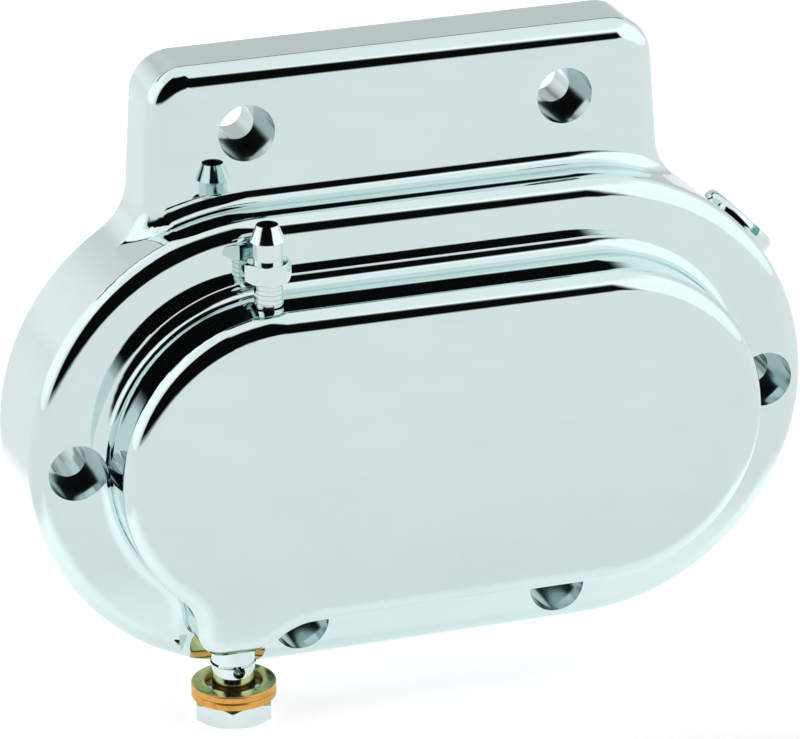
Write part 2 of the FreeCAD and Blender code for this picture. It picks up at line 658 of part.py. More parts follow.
def build_ports(cover):
    """Bleeder hole with its seat, hose port with its clearance, and the filler hole."""
    in_plane = ("0", "0", "port_depth")
    hole = "bleeder_thread + thread_clearance"
    seat = "bleeder_tip - bleeder_tip_radius - seat_gap"
    inner_end = "bore_radius - passage_radius"
    outer_end = f"boss_radius + {PAST}"
    turn_groove(cover, "bleeder_hole", [
        ("0", inner_end), ("passage_radius", inner_end),
        ("passage_radius", f"{seat} + passage_radius"), (hole, f"{seat} + {hole}"),
        (hole, outer_end), ("0", outer_end),
    ], axis="-bleeder_x", offset=in_plane)

    hole = "bolt_thread + thread_clearance"
    top = f"{PORT_FACE} + port_length"
    inner_end = "-bore_radius / 2"
    outer_end = f"{PORT_FACE} - {PAST}"
    turn_groove(cover, "hose_port", [
        ("0", outer_end), (hole, outer_end), (hole, top),
        ("port_passage", f"{top} + ({hole} - port_passage) / 2"),
        ("port_passage", inner_end), ("0", inner_end),
    ], axis="-bolt_x", offset=in_plane)
    below = f"-(lobe_radius + {PAST})"
    turn_groove(cover, "port_clearance", [
        ("0", below), ("port_relief", below), ("port_relief", PORT_FACE), ("0", PORT_FACE),
    ], axis="-bolt_x", offset=in_plane)

    hole = "filler_thread + thread_clearance"
    recess = "filler_thread + 2 * oring_section + 2 * oring_play"
    recess_floor = "-(2 * oring_section + 2 * oring_play)"
    face = "filler_head + filler_face"
    inner_end = "-(rim_width + filler_run_out)"
    turn_groove(cover, "filler_hole", [
        ("0", "filler_face_reach"), (face, "filler_face_reach"), (face, "0"),
        (recess, "0"), (recess, recess_floor), (hole, recess_floor),
        (hole, inner_end), ("0", inner_end),
    ], offset=(FILLER_X, FILLER_Z, "filler_depth"), turn="filler_angle - 90")


def build_cover():
    cover = new_body("cover_body")
    build_cover_outside(cover)
    build_cover_hollow(cover)
    build_cover_holes(cover)
    build_cylinder_bore(cover)
    build_ports(cover)
    return cover


# ---------------------------------------------------------------- piston and its seals
BORE_AXIS = {"across": "-cylinder_x", "axis": (1, 0, 0), "turn": "90"}
PISTON_FRONT = "piston_back + piston_length"
PRESSURE_SIDE = "piston_back + primary_start + primary_width"
BEARING_FRONT = "piston_back + bearing_width"
SEAL_OUTER = "bore_radius - seal_gap"


def groove_points(start, width, floor, skin):
    """Corners of one groove in a turned outline, from its back edge to its front edge."""
    back = f"piston_back + {start}"
    front = f"piston_back + {start} + {width}"
    return [(skin, back), (floor, back), (floor, front), (skin, front)]


def build_piston():
    skin = "bore_radius - piston_clearance"
    recess = f"{BEARING_FRONT} + web_recess_depth"
    shoulder = f"{PISTON_FRONT} - nose_length"
    pocket_floor = f"{PISTON_FRONT} - spring_pocket_depth"
    piston = turn_piece("slave_piston", [
        ("0", recess), ("web_recess", recess), ("web_recess", BEARING_FRONT),
        ("bearing_outer", BEARING_FRONT), ("bearing_outer", "piston_back"), (skin, "piston_back"),
        *groove_points("wiper_start", "wiper_width", "wiper_floor", skin),
        *groove_points("secondary_start", "secondary_width", "secondary_floor", skin),
        *groove_points("primary_start", "primary_width", "primary_floor", skin),
        (skin, shoulder), ("nose_radius", shoulder), ("nose_radius", PISTON_FRONT),
        ("spring_pocket", PISTON_FRONT), ("spring_pocket", pocket_floor), ("0", pocket_floor),
    ])
    place(piston, **BORE_AXIS)


def build_seals():
    """Lipped main seal, bevelled second seal and plain wiper, each in its own groove."""
    floor = "primary_floor + seal_gap"
    middle = "(primary_floor + bore_radius) / 2"
    back = "piston_back + primary_start + seal_gap"
    front = f"{PRESSURE_SIDE} - seal_gap"
    lip = f"{front} - lip_edge_length"
    primary = turn_piece("primary_seal", [
        (floor, back), (f"{SEAL_OUTER} - lip_taper", back), (SEAL_OUTER, lip),
        (f"{SEAL_OUTER} - lip_edge", front), (middle, f"{front} - primary_width / 2"),
        (f"{floor} + lip_edge", front), (floor, lip),
    ])

    floor = "secondary_floor + seal_gap"
    bevel = "secondary_width / 4"
    back = "piston_back + secondary_start + seal_gap"
    front = "piston_back + secondary_start + secondary_width - seal_gap"
    secondary = turn_piece("secondary_seal", [
        (floor, back), (f"{SEAL_OUTER} - {bevel}", back), (SEAL_OUTER, f"{back} + {bevel}"),
        (SEAL_OUTER, f"{front} - {bevel}"), (f"{SEAL_OUTER} - {bevel}", front), (floor, front),
    ])

    floor = "wiper_floor + seal_gap"
    back = "piston_back + wiper_start + seal_gap"
    front = "piston_back + wiper_start + wiper_width - seal_gap"
    wiper = turn_piece("wiper_ring", [
        (floor, back), (SEAL_OUTER, back), (SEAL_OUTER, front), (floor, front)])
    for seal in (primary, secondary, wiper):
        place(seal, **BORE_AXIS)


def build_spring():
    """Return spring from the bore's floor to the piston's nose, as half turns tilted both ways."""
    rest = f"{PISTON_FRONT} - spring_pocket_depth + spring_wire + seal_gap"
    rise = f"(bore_floor - spring_wire - seal_gap - ({rest})) / (4 * spring_turns)"
    tilt = math.degrees(math.atan(value(rise) / value("spring_radius")))
    halves = []
    for index in range(round(2 * value("spring_turns"))):
        half = doc.addObject("Part::Torus", f"spring_half_{index}")
        bind(half, "Radius1", f"sqrt(spring_radius ^ 2 + ({rise}) ^ 2)")
        bind(half, "Radius2", "spring_wire")
        half.Angle3 = 180
        facing = FreeCAD.Rotation(FreeCAD.Vector(0, 0, 1), 180 * (index % 2))
        leaning = FreeCAD.Rotation(FreeCAD.Vector(0, 1, 0), tilt * (-1) ** index)
        half.Placement = FreeCAD.Placement(FreeCAD.Vector(0, 0, 0), leaning.multiply(facing))
        bind(half, "Placement.Base.z", f"({rise}) * {2 * index + 1}")
        halves.append(half)
    spring = doc.addObject("Part::MultiFuse", "return_spring")
    spring.Shapes = halves
    place(spring, deep=rest, **BORE_AXIS)


def gap_corners(half, outer):
    """Corners of the strip cut away to open a ring on one side."""
    end = f"-({outer}) - {PAST}"
    return [(f"-{half}", "0"), (half, "0"), (half, end), (f"-{half}", end)]


def build_piston_circlip():
    """Open ring with two drilled ears, sprung into the groove behind the piston."""
    ring = new_body("piston_retaining_ring")
    back = "piston_back - circlip_gap - circlip_thickness"
    outer = "bore_radius + circlip_bite - circlip_play"
    inner = f"{outer} - circlip_width"
    sketch = new_sketch(ring, "circlip_outline", "XY_Plane", ("0", "0", back))
    draw_circle(sketch, "0", "0", outer)
    draw_circle(sketch, "0", "0", inner)
    pad(ring, "circlip_ring", sketch, "circlip_thickness")
    half = "circlip_opening / 2"
    sketch = new_sketch(ring, "circlip_opening_sketch", "XY_Plane", ("0", "0", back))
    draw_polygon(sketch, gap_corners(half, outer))
    pocket(ring, "circlip_gap_cut", sketch, "circlip_thickness", forward=True)

    ear_x = f"{half} + circlip_ear / 2"
    ear_y = f"-({inner} - circlip_ear / 4)"
    for name, radius in (("circlip_ears", "circlip_ear"), ("circlip_ear_holes", "circlip_ear_hole")):
        sketch = new_sketch(ring, f"{name}_sketch", "XY_Plane", ("0", "0", back))
        draw_circle(sketch, ear_x, ear_y, radius)
        draw_circle(sketch, f"-({ear_x})", ear_y, radius)
        if name == "circlip_ears":
            pad(ring, name, sketch, "circlip_thickness")
        else:
            pocket(ring, name, sketch, "circlip_thickness", forward=True)
    place(ring, **BORE_AXIS)


# ---------------------------------------------------------------- release bearing and button
PITCH_RADIUS = "(bearing_outer + bearing_inner) / 2"
MID_BEARING = "piston_back + bearing_width / 2"


def ball_groove(body, name):
    """Running groove for the balls, as a ring cut all round a race."""
    sketch = new_sketch(body, f"{name}_sketch", "XZ_Plane")
    centre_line = sketch.addGeometry(Part.LineSegment(vector(0, 0), vector(0, 1)), True)
    pin_point(sketch, centre_line, 1, "0", "0")
    pin_point(sketch, centre_line, 2, "0", "1")
    draw_circle(sketch, PITCH_RADIUS, MID_BEARING, "ball_radius + ball_play")
    revolve(body, name, sketch, "PartDesign::Groove")


def half_disc(body, name):
    """Half disc standing on a ball's own axis, ready to be turned into a ball."""
    sketch = new_sketch(body, name, "XZ_Plane")
    across, up, size = value(PITCH_RADIUS), value(MID_BEARING), value("ball_radius")
    circle = Part.Circle(vector(across, up), FreeCAD.Vector(0, 0, 1), size)
    curve = sketch.addGeometry(Part.ArcOfCircle(circle, -math.pi / 2, math.pi / 2))
    top, bottom = vector(across, up + size), vector(across, up - size)
    chord = sketch.addGeometry(Part.LineSegment(top, bottom))
    sketch.addConstraint(Sketcher.Constraint("Coincident", curve, 2, chord, 1))
    sketch.addConstraint(Sketcher.Constraint("Coincident", chord, 2, curve, 1))
    sketch.addConstraint(Sketcher.Constraint("Vertical", chord))
    sketch.addConstraint(Sketcher.Constraint("PointOnObject", curve, 3, chord))
    pin_point(sketch, curve, 3, PITCH_RADIUS, MID_BEARING)
    set_radius(sketch, curve, "ball_radius")
    axis = sketch.addGeometry(Part.LineSegment(vector(across, 0), vector(across, 1)), True)
    pin_point(sketch, axis, 1, PITCH_RADIUS, "0")
    pin_point(sketch, axis, 2, PITCH_RADIUS, "1")
    return sketch


def repeat_round(body, name, feature):
    """Repeat a feature once for each ball."""
    pattern = body.newObject("PartDesign::PolarPattern", name)
    pattern.Originals = [feature]
    axis = [part for part in body.Origin.OriginFeatures if part.Role == "Z_Axis"][0]
    pattern.Axis = (axis, [""])
    pattern.Angle = 360
    bind(pattern, "Occurrences", "ball_count")
    body.Tip = pattern
    doc.recompute()


def build_bearing():
    """Deep groove ball bearing: two races, balls, cage and a shield on its front side."""
    inside = "bearing_outer - outer_race_wall"
    step = f"{inside} + shield_seat"
    step_floor = f"{BEARING_FRONT} - shield_step"
    outer = turn_piece("bearing_outer_race", [
        (inside, "piston_back"), ("bearing_outer", "piston_back"), ("bearing_outer", BEARING_FRONT),
        (step, BEARING_FRONT), (step, step_floor), (inside, step_floor),
    ])
    ball_groove(outer, "outer_race_groove")

    outside = "bearing_inner + inner_race_wall"
    inner = turn_piece("bearing_inner_race", [
        ("bearing_inner", "piston_back"), (outside, "piston_back"),
        (outside, BEARING_FRONT), ("bearing_inner", BEARING_FRONT),
    ])
    ball_groove(inner, "inner_race_groove")

    shield_inner = f"{step} - shield_reach"
    shield_top = f"{step_floor} + shield_thickness"
    shield = turn_piece("bearing_shield", [
        (shield_inner, step_floor), (f"{step} - seal_gap", step_floor),
        (f"{step} - seal_gap", shield_top), (shield_inner, shield_top),
    ])

    balls = new_body("bearing_balls")
    balls.AllowCompound = True
    ball = revolve(balls, "ball", half_disc(balls, "ball_section"))
    repeat_round(balls, "all_balls", ball)

    cage_inner = f"{PITCH_RADIUS} - cage_thickness / 2"
    cage_outer = f"{PITCH_RADIUS} + cage_thickness / 2"
    cage_back = f"{MID_BEARING} - cage_width / 2"
    cage_front = f"{MID_BEARING} + cage_width / 2"
    cage = turn_piece("bearing_cage", [
        (cage_inner, cage_back), (cage_outer, cage_back),
        (cage_outer, cage_front), (cage_inner, cage_front),
    ])
    hole = new_sketch(cage, "ball_pocket_sketch", "YZ_Plane")
    draw_circle(hole, "0", MID_BEARING, "ball_radius + cage_play")
    first = pocket(cage, "ball_pocket", hole, "bearing_outer", forward=True)
    repeat_round(cage, "ball_pockets", first)
    for piece in (outer, inner, shield, balls, cage):
        place(piece, **BORE_AXIS)


def build_button():
    """Button for the clutch rod, held in the inner race by a snap ring on its stem."""
    seat = "piston_back - button_shoulder_height"
    face = f"{seat} - button_head_height"
    cup_floor = f"{face} + button_cup_depth"
    groove_end = f"{BEARING_FRONT} + snap_thickness + 2 * snap_gap"
    end = f"{BEARING_FRONT} + button_tail"
    floor = "bearing_inner - snap_groove"
    button = turn_piece("pushrod_button", [
        ("0", cup_floor), ("button_cup_floor", cup_floor), ("button_cup", face),
        ("button_head - button_bevel", face), ("button_head", f"{face} + button_bevel"),
        ("button_head", seat), ("button_shoulder", seat), ("button_shoulder", "piston_back"),
        ("bearing_inner", "piston_back"), ("bearing_inner", BEARING_FRONT), (floor, BEARING_FRONT),
        (floor, groove_end), ("bearing_inner", groove_end), ("bearing_inner", end), ("0", end),
    ])
    place(button, **BORE_AXIS)

    back = f"{BEARING_FRONT} + snap_gap"
    front = f"{back} + snap_thickness"
    hole = f"{floor} + seal_gap"
    ring = turn_piece("button_retaining_ring", [
        (hole, back), ("snap_outer", back), ("snap_outer", front), (hole, front)])
    sketch = new_sketch(ring, "snap_opening_sketch", "XY_Plane", ("0", "0", back))
    draw_polygon(sketch, gap_corners("snap_opening / 2", "snap_outer"))
    pocket(ring, "snap_opening_cut", sketch, "snap_thickness", forward=True)
    place(ring, **BORE_AXIS)


# ---------------------------------------------------------------- bleeder screw
def cross_drill(body, name, up, radius):
    """A hole right through a screw, square to its axis."""
    sketch = new_sketch(body, f"{name}_sketch", "XZ_Plane")
    draw_circle(sketch, "0", up, radius)
    pocket(body, name, sketch, FAR, both_ways=True)


def build_bleeder():
    shoulder = "bleeder_tip + bleeder_relief - bleeder_tip_radius"
    thread_start = f"{shoulder} + bleeder_relief_length + bleeder_thread - bleeder_relief"
    hexagon = "boss_radius + bleeder_stand"
    neck = f"{hexagon} + bleeder_hex_height"
    barb = f"{neck} + bleeder_neck_height + bleeder_barb_step"
    top = f"{barb} + bleeder_nose_height"
    bleeder = turn_piece("bleeder_screw", [
        ("0", shoulder), ("bleeder_bore", shoulder), ("bleeder_bore", top), ("bleeder_nose", top),
        ("bleeder_barb", barb), ("bleeder_neck", f"{neck} + bleeder_neck_height"),
        ("bleeder_neck", hexagon),
        ("bleeder_thread", hexagon), ("bleeder_thread", thread_start),
        ("bleeder_relief", f"{shoulder} + bleeder_relief_length"), ("bleeder_relief", shoulder),
        ("bleeder_tip_radius", "bleeder_tip"), ("0", "bleeder_tip"),
    ])
    add_hexagon(bleeder, "bleeder_hexagon", "bleeder_flats", hexagon,
                "bleeder_hex_height", "bleeder_turned")
    turn_groove(bleeder, "bleeder_bore_reopened", [
        ("0", hexagon), ("bleeder_bore", hexagon), ("bleeder_bore", neck), ("0", neck)])
    cross_drill(bleeder, "bleeder_cross_hole",
                f"{shoulder} + bleeder_relief_length / 2", "bleeder_cross")
    place(bleeder, "-bleeder_x", "port_depth", "0")


# ---------------------------------------------------------------- hose bolt and washers
WASHER_TOP = f"({PORT_FACE}) - hose_gap"
HEAD_TOP = f"({WASHER_TOP}) - 2 * washer_thickness"


def build_hose_bolt():
    tip = f"({HEAD_TOP}) + bolt_length"
    thread_end = f"({PORT_FACE}) - bolt_thread_start"
    drilling = f"({PORT_FACE}) - bolt_cross_drop"
    collar = f"({HEAD_TOP}) + bolt_collar_height"
    base = f"({HEAD_TOP}) - bolt_head_height"
    bevel = "bolt_thread + bolt_shank"
    bolt = turn_piece("banjo_bolt", [
        ("0", base), ("bolt_collar", base), ("bolt_collar", collar), ("bolt_shank", collar),
        ("bolt_shank", f"({thread_end}) - {bevel}"), ("bolt_thread", thread_end),
        ("bolt_thread", f"({tip}) - {bevel}"), ("bolt_shank", tip),
        ("bolt_bore", tip), ("bolt_bore", drilling), ("0", f"({drilling}) - bolt_bore / 2"),
    ])
    add_hexagon(bolt, "bolt_hexagon", "bolt_flats", base, "bolt_head_height", "bolt_turned")
    cross_drill(bolt, "bolt_cross_hole", drilling, "bolt_cross")
    place(bolt, "-bolt_x", "port_depth", "0")


def build_washers():
    for label, layer in (("banjo_washer_upper", 1), ("banjo_washer_lower", 2)):
        bottom = f"({WASHER_TOP}) - {layer} * washer_thickness"
        top = f"({bottom}) + washer_thickness"
        washer = turn_piece(label, [
            ("washer_inner", bottom), ("washer_outer", bottom),
            ("washer_outer", top), ("washer_inner", top),
        ])
        place(washer, "-bolt_x", "port_depth", "0")


# ---------------------------------------------------------------- filler plug and its O-ring
FILLER_AXIS = {"across": FILLER_X, "deep": "filler_depth", "up": FILLER_Z,
               "axis": (0, 1, 0), "turn": "90 - filler_angle"}


def build_filler_plug():
    plug = turn_piece("filler_plug", [
        ("0", "-filler_thread_length"),
        ("filler_thread - filler_tip_bevel", "-filler_thread_length"),
        ("filler_thread", "-filler_thread_length + filler_tip_bevel"), ("filler_thread", "0"),
        ("filler_head", "0"), ("filler_head", "filler_head_height"), ("0", "filler_head_height"),
    ])
    turning = plug.Tip
    rims = [f"Edge{number}" for number, edge in enumerate(turning.Shape.Edges, start=1)
            if edge.BoundBox.ZMin > value("filler_head_height") - CLOSE]
    fillet(plug, "filler_head_edge", rims, "filler_head_round")
    slot = new_sketch(plug, "filler_slot_sketch", "XZ_Plane")
    floor = "filler_head_height - filler_slot_depth"
    top = f"filler_head_height + {PAST}"
    draw_polygon(slot, [("-filler_slot", floor), ("filler_slot", floor),
                        ("filler_slot", top), ("-filler_slot", top)])
    pocket(plug, "filler_slot_cut", slot, FAR, both_ways=True)
    place(plug, **FILLER_AXIS)


def build_filler_o_ring():
    ring = doc.addObject("Part::Torus", "filler_plug_o_ring")
    bind(ring, "Radius1", "filler_thread + oring_play + oring_section")
    bind(ring, "Radius2", "oring_section")
    across, up = FILLER_X, FILLER_Z
    sink = "(oring_section + oring_play)"
    place(ring, f"{across} - {sink} * cos(filler_angle)", "filler_depth",
          f"{up} - {sink} * sin(filler_angle)", (0, 1, 0), "90 - filler_angle")


# ---------------------------------------------------------------- build, check and write
NODES = [
    "cover_body", "slave_piston", "primary_seal", "secondary_seal", "wiper_ring", "return_spring",
    "piston_retaining_ring", "bearing_outer_race", "bearing_inner_race", "bearing_balls",
    "bearing_cage", "bearing_shield", "pushrod_button", "button_retaining_ring", "bleeder_screw",
    "banjo_bolt", "banjo_washer_upper", "banjo_washer_lower", "filler_plug", "filler_plug_o_ring",
]


def check_document():
    """Stop if anything failed to build."""
    for item in doc.Objects:
        if any(word in state for state in item.State for word in ("Invalid", "Error")):
            raise RuntimeError(f"{item.Label} is in state {item.State}")
        if item.isDerivedFrom("Part::Feature") and (item.Shape.isNull() or not item.Shape.isValid()):
            raise RuntimeError(f"{item.Label} has no sound shape")


def write_nodes():
    os.makedirs("parts", exist_ok=True)
    for label in NODES:
        shape = doc.getObjectsByLabel(label)[0].Shape
        if not shape.Solids:
            raise RuntimeError(f"{label} is not solid")
        shape.exportStep(f"parts/{label}.step")


build_cover()
build_piston()
build_seals()
build_spring()
build_piston_circlip()
build_bearing()
build_button()
build_bleeder()
build_hose_bolt()
build_washers()
build_filler_plug()
build_filler_o_ring()
doc.recompute()
check_document()
write_nodes()
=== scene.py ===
import math

import bmesh
import bpy
from mathutils import Matrix, Vector


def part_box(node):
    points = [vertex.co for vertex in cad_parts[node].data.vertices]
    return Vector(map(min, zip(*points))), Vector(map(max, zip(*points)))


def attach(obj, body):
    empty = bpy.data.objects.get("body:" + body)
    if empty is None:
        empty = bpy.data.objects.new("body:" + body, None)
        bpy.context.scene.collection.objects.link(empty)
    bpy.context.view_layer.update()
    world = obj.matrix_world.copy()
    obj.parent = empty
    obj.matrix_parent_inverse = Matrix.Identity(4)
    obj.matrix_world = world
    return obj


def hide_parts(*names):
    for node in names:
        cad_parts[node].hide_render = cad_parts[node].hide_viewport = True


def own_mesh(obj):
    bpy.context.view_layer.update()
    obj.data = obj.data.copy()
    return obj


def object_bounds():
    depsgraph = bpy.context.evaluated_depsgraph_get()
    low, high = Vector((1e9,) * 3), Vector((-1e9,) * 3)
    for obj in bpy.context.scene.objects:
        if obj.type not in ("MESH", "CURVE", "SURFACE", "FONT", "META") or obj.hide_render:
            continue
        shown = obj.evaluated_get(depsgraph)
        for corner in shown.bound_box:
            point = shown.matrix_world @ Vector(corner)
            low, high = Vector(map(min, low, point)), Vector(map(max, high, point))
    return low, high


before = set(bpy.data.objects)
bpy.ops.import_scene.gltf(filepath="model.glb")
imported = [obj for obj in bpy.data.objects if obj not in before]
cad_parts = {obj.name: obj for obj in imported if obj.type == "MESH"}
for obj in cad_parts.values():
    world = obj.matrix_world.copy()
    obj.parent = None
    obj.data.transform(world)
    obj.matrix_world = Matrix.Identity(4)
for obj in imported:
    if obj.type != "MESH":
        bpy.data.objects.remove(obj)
cad_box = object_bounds()
MM = 0.001


# ---------------------------------------------------------------- photographic set
# A pale floor under a light tent: white overhead and behind, dark on the side where the camera stands.
# The chrome takes its black and white bands from this tent, which is one world shader.
class Signal:
    """A value that varies over a surface; arithmetic on it adds Math nodes."""

    def __init__(self, tree, socket):
        self.tree = tree
        self.socket = socket

    def _math(self, operation, first, second=None):
        inputs = {0: first} if second is None else {0: first, 1: second}
        return add_node(self.tree, "ShaderNodeMath", {"operation": operation}, inputs)

    def __add__(self, other):
        return self._math("ADD", self, other)

    def __sub__(self, other):
        return self._math("SUBTRACT", self, other)

    def __mul__(self, other):
        return self._math("MULTIPLY", self, other)

    def __truediv__(self, other):
        return self._math("DIVIDE", self, other)

    __radd__ = __add__

    def power(self, exponent):
        return self._math("POWER", self, exponent)

    def least(self, other):
        return self._math("MINIMUM", self, other)

    def most(self, other):
        return self._math("MAXIMUM", self, other)

    def ramp(self, start, end, low=0.0, high=1.0):
        """Smooth step from low at start to high at end."""
        inputs = {"Value": self, "From Min": start, "From Max": end, "To Min": low, "To Max": high}
        return add_node(self.tree, "ShaderNodeMapRange", {"interpolation_type": "SMOOTHSTEP"}, inputs)


def add_node(tree, kind, settings=None, inputs=None, output=0):
    """Add a node: settings first, then each input as a plain value or a link."""
    node = tree.nodes.new(kind)
    for name, setting in (settings or {}).items():
        setattr(node, name, setting)
    for key, given in (inputs or {}).items():
        if isinstance(given, Signal):
            tree.links.new(given.socket, node.inputs[key])
        else:
            node.inputs[key].default_value = given
    return Signal(tree, node.outputs[output])


def mix_colours(tree, share, first, second):
    inputs = {0: share, 6: first, 7: second}
    return add_node(tree, "ShaderNodeMix", {"data_type": "RGBA"}, inputs, output=2)


def grey(level, tint=(1.0, 1.0, 1.0)):
    return (level * tint[0], level * tint[1], level * tint[2], 1.0)


def bearing_from(east, north, azimuth, level):
    """Cosine of the angle along the horizon from an azimuth: 0 in front, +90 to the right."""
    turn = math.radians(azimuth)
    return (east * math.sin(turn) - north * math.cos(turn)) / level


def window(signal, low, high, soft):
    """1 between low and high, falling to 0 over a soft edge on each side."""
    return signal.ramp(low - soft, low + soft) * signal.ramp(high + soft, high - soft)


def height(degrees):
    return math.sin(math.radians(degrees))


# Azimuths and heights in degrees. A pair is where a panel's soft edge starts and where it ends.
RIGHT_PANEL = 63.0
LEFT_PANEL = -122.0
BACK_PAPER = 168.0
BACK_SEAM = 180.0
DARK_GAP = -22.5
GAP_HALF = (50.0, 45.0)
GAP_FOOT = (-3.0, 6.0)
GAP_TOP = (78.0, 69.0)
PANEL_FOOT = (-14.0, 8.0)
RIGHT_TOP = (62.0, 46.0)
LEFT_TOP = (54.0, 42.0)
BACK_TOP = (34.0, 20.0)
ROOF_EDGE = (30.0, 60.0)
SEAM_HEIGHTS = (27.0, 33.0)
PAPER_LIGHT = 0.94
PANEL_GAIN = 0.30
ROOF_GAIN = 0.10
BACK_LOSS = 0.26
GAP_LIGHT = 0.004


def light_tent():
    """World light by direction: paper sweep, bright side panels, dark gap where the camera stands."""
    world = bpy.data.worlds.new("light_tent")
    world.use_nodes = True
    bpy.context.scene.world = world
    tree = world.node_tree
    background = tree.nodes["Background"]
    direction = add_node(tree, "ShaderNodeTexCoord", output=0)
    parts = tree.nodes.new("ShaderNodeSeparateXYZ")
    tree.links.new(direction.socket, parts.inputs[0])
    east, north, up = (Signal(tree, parts.outputs[i]) for i in range(3))
    level = (east * east + north * north).power(0.5).most(0.001)

    def facing(azimuth, low, high):
        return bearing_from(east, north, azimuth, level).ramp(low, high)

    def rising(edge):
        return up.ramp(height(edge[0]), height(edge[1]))

    side_panels = rising(PANEL_FOOT) * PANEL_GAIN
    right_panel = facing(RIGHT_PANEL, 0.62, 0.80) * rising(RIGHT_TOP)
    left_panel = facing(LEFT_PANEL, 0.66, 0.86) * rising(LEFT_TOP)
    panels = side_panels * (right_panel + left_panel).least(1.0)
    back = facing(BACK_PAPER, 0.55, 0.95) * rising(BACK_TOP)
    bright = PAPER_LIGHT + panels + rising(ROOF_EDGE) * ROOF_GAIN - back * BACK_LOSS

    gap_cosines = (math.cos(math.radians(half)) for half in GAP_HALF)
    gap = facing(DARK_GAP, *gap_cosines) * rising(GAP_FOOT) * rising(GAP_TOP)
    seam = facing(BACK_SEAM, 0.72, 0.80) * window(up, *map(height, SEAM_HEIGHTS), 0.02)
    dark = (gap + seam).least(1.0)
    colour = mix_colours(tree, dark, grey(1.0), grey(GAP_LIGHT))
    tree.links.new(colour.socket, background.inputs["Color"])
    tree.links.new(bright.socket, background.inputs["Strength"])


def new_mesh_object(name, verts, faces):
    mesh = bpy.data.meshes.new(name)
    mesh.from_pydata(verts, [], faces)
    mesh.update()
    piece = bpy.data.objects.new(name, mesh)
    bpy.context.scene.collection.objects.link(piece)
    return piece


def surface_material(name, **settings):
    """A material with one Principled shader whose steady values are set on its own sockets."""
    material = bpy.data.materials.new(name)
    material.use_nodes = True
    shader = material.node_tree.nodes["Principled BSDF"]
    for socket, given in settings.items():
        shader.inputs[socket.replace("_", " ")].default_value = given
    return material, material.node_tree, shader


def connect(tree, shader, socket, signal):
    tree.links.new(signal.socket, shader.inputs[socket])


def place_on(tree, scale):
    """Object coordinates stretched by scale, one number or three."""
    factors = (scale, scale, scale) if isinstance(scale, (int, float)) else scale
    where = add_node(tree, "ShaderNodeTexCoord", output=3)
    return add_node(tree, "ShaderNodeMapping", inputs={"Vector": where, "Scale": factors})


def object_axis(tree, axis, output=3):
    """One coordinate of the spot, or with output 1 of the surface's direction."""
    where = add_node(tree, "ShaderNodeTexCoord", output=output)
    return add_node(tree, "ShaderNodeSeparateXYZ", inputs={0: where}, output=axis)


def noise(tree, scale, detail=4.0, roughness=0.55):
    """Noise with this many cells to the metre, one number or three."""
    inputs = {"Vector": place_on(tree, scale), "Scale": 1.0, "Detail": detail, "Roughness": roughness}
    return add_node(tree, "ShaderNodeTexNoise", inputs=inputs)


FLOOR_DROP = 0.3 * MM
FLOOR_REACH = 6.0
POOL_ACROSS = (0.952, -0.306)
POOL_HALF = 0.12
POOL_SOFT = 0.015
POOL_FRONT = (-0.10, -0.04)
PAPER_GLOW, POOL_GLOW = 0.28, 0.60
PAPER_DARK, PAPER_PALE = 0.78, 0.80
floor_level = cad_box[0].z - FLOOR_DROP


def pale_floor():
    """Paper with a strip of stronger light that runs back under the object."""
    spots = [(x * FLOOR_REACH, y * FLOOR_REACH, floor_level)
             for x, y in ((-1, -1), (1, -1), (1, 1), (-1, 1))]
    floor = new_mesh_object("floor", spots, [(0, 1, 2, 3)])
    material, tree, shader = surface_material("pale_paper", Roughness=0.9, Emission_Strength=1.0)
    mottle = noise(tree, 60.0).ramp(0.3, 0.7)
    across, deep = object_axis(tree, 0), object_axis(tree, 1)
    beside = across * POOL_ACROSS[0] + deep * POOL_ACROSS[1]
    pool = deep.ramp(*POOL_FRONT) * window(beside, -POOL_HALF, POOL_HALF, POOL_SOFT)
    glow = mix_colours(tree, pool, grey(PAPER_GLOW), grey(POOL_GLOW))
    connect(tree, shader, "Emission Color", glow)
    paper = mix_colours(tree, mottle, grey(PAPER_DARK), grey(PAPER_PALE))
    connect(tree, shader, "Base Color", paper)
    floor.data.materials.append(material)


LAMP_SIZE = 0.9
LAMP_POWER = 1.2
LAMP_PLACE = (0.15, 0.25, 1.2)


def overhead_light():
    """Large soft light above and a little behind, for the faint shadow on the paper."""
    light = bpy.data.lights.new("overhead", "AREA")
    light.shape = "DISK"
    light.size = LAMP_SIZE
    light.energy = LAMP_POWER
    lamp = bpy.data.objects.new("overhead", light)
    lamp.location = LAMP_PLACE
    lamp.rotation_euler = (-lamp.location).to_track_quat("-Z", "Y").to_euler()
    lamp.visible_glossy = False
    bpy.context.scene.collection.objects.link(lamp)


light_tent()
pale_floor()
overhead_light()
scene = bpy.context.scene
scene.view_settings.view_transform = "Standard"


# ---------------------------------------------------------------- camera
# Long lens, above and to the left of the cover's front.
CAMERA_AZIMUTH = -17.839
CAMERA_ELEVATION = 22.101
CAMERA_ROLL = -0.738
CAMERA_DISTANCE = 0.9821
LENS = 225.0
SENSOR = 36.0
SHIFT = (0.0169, 0.0105)


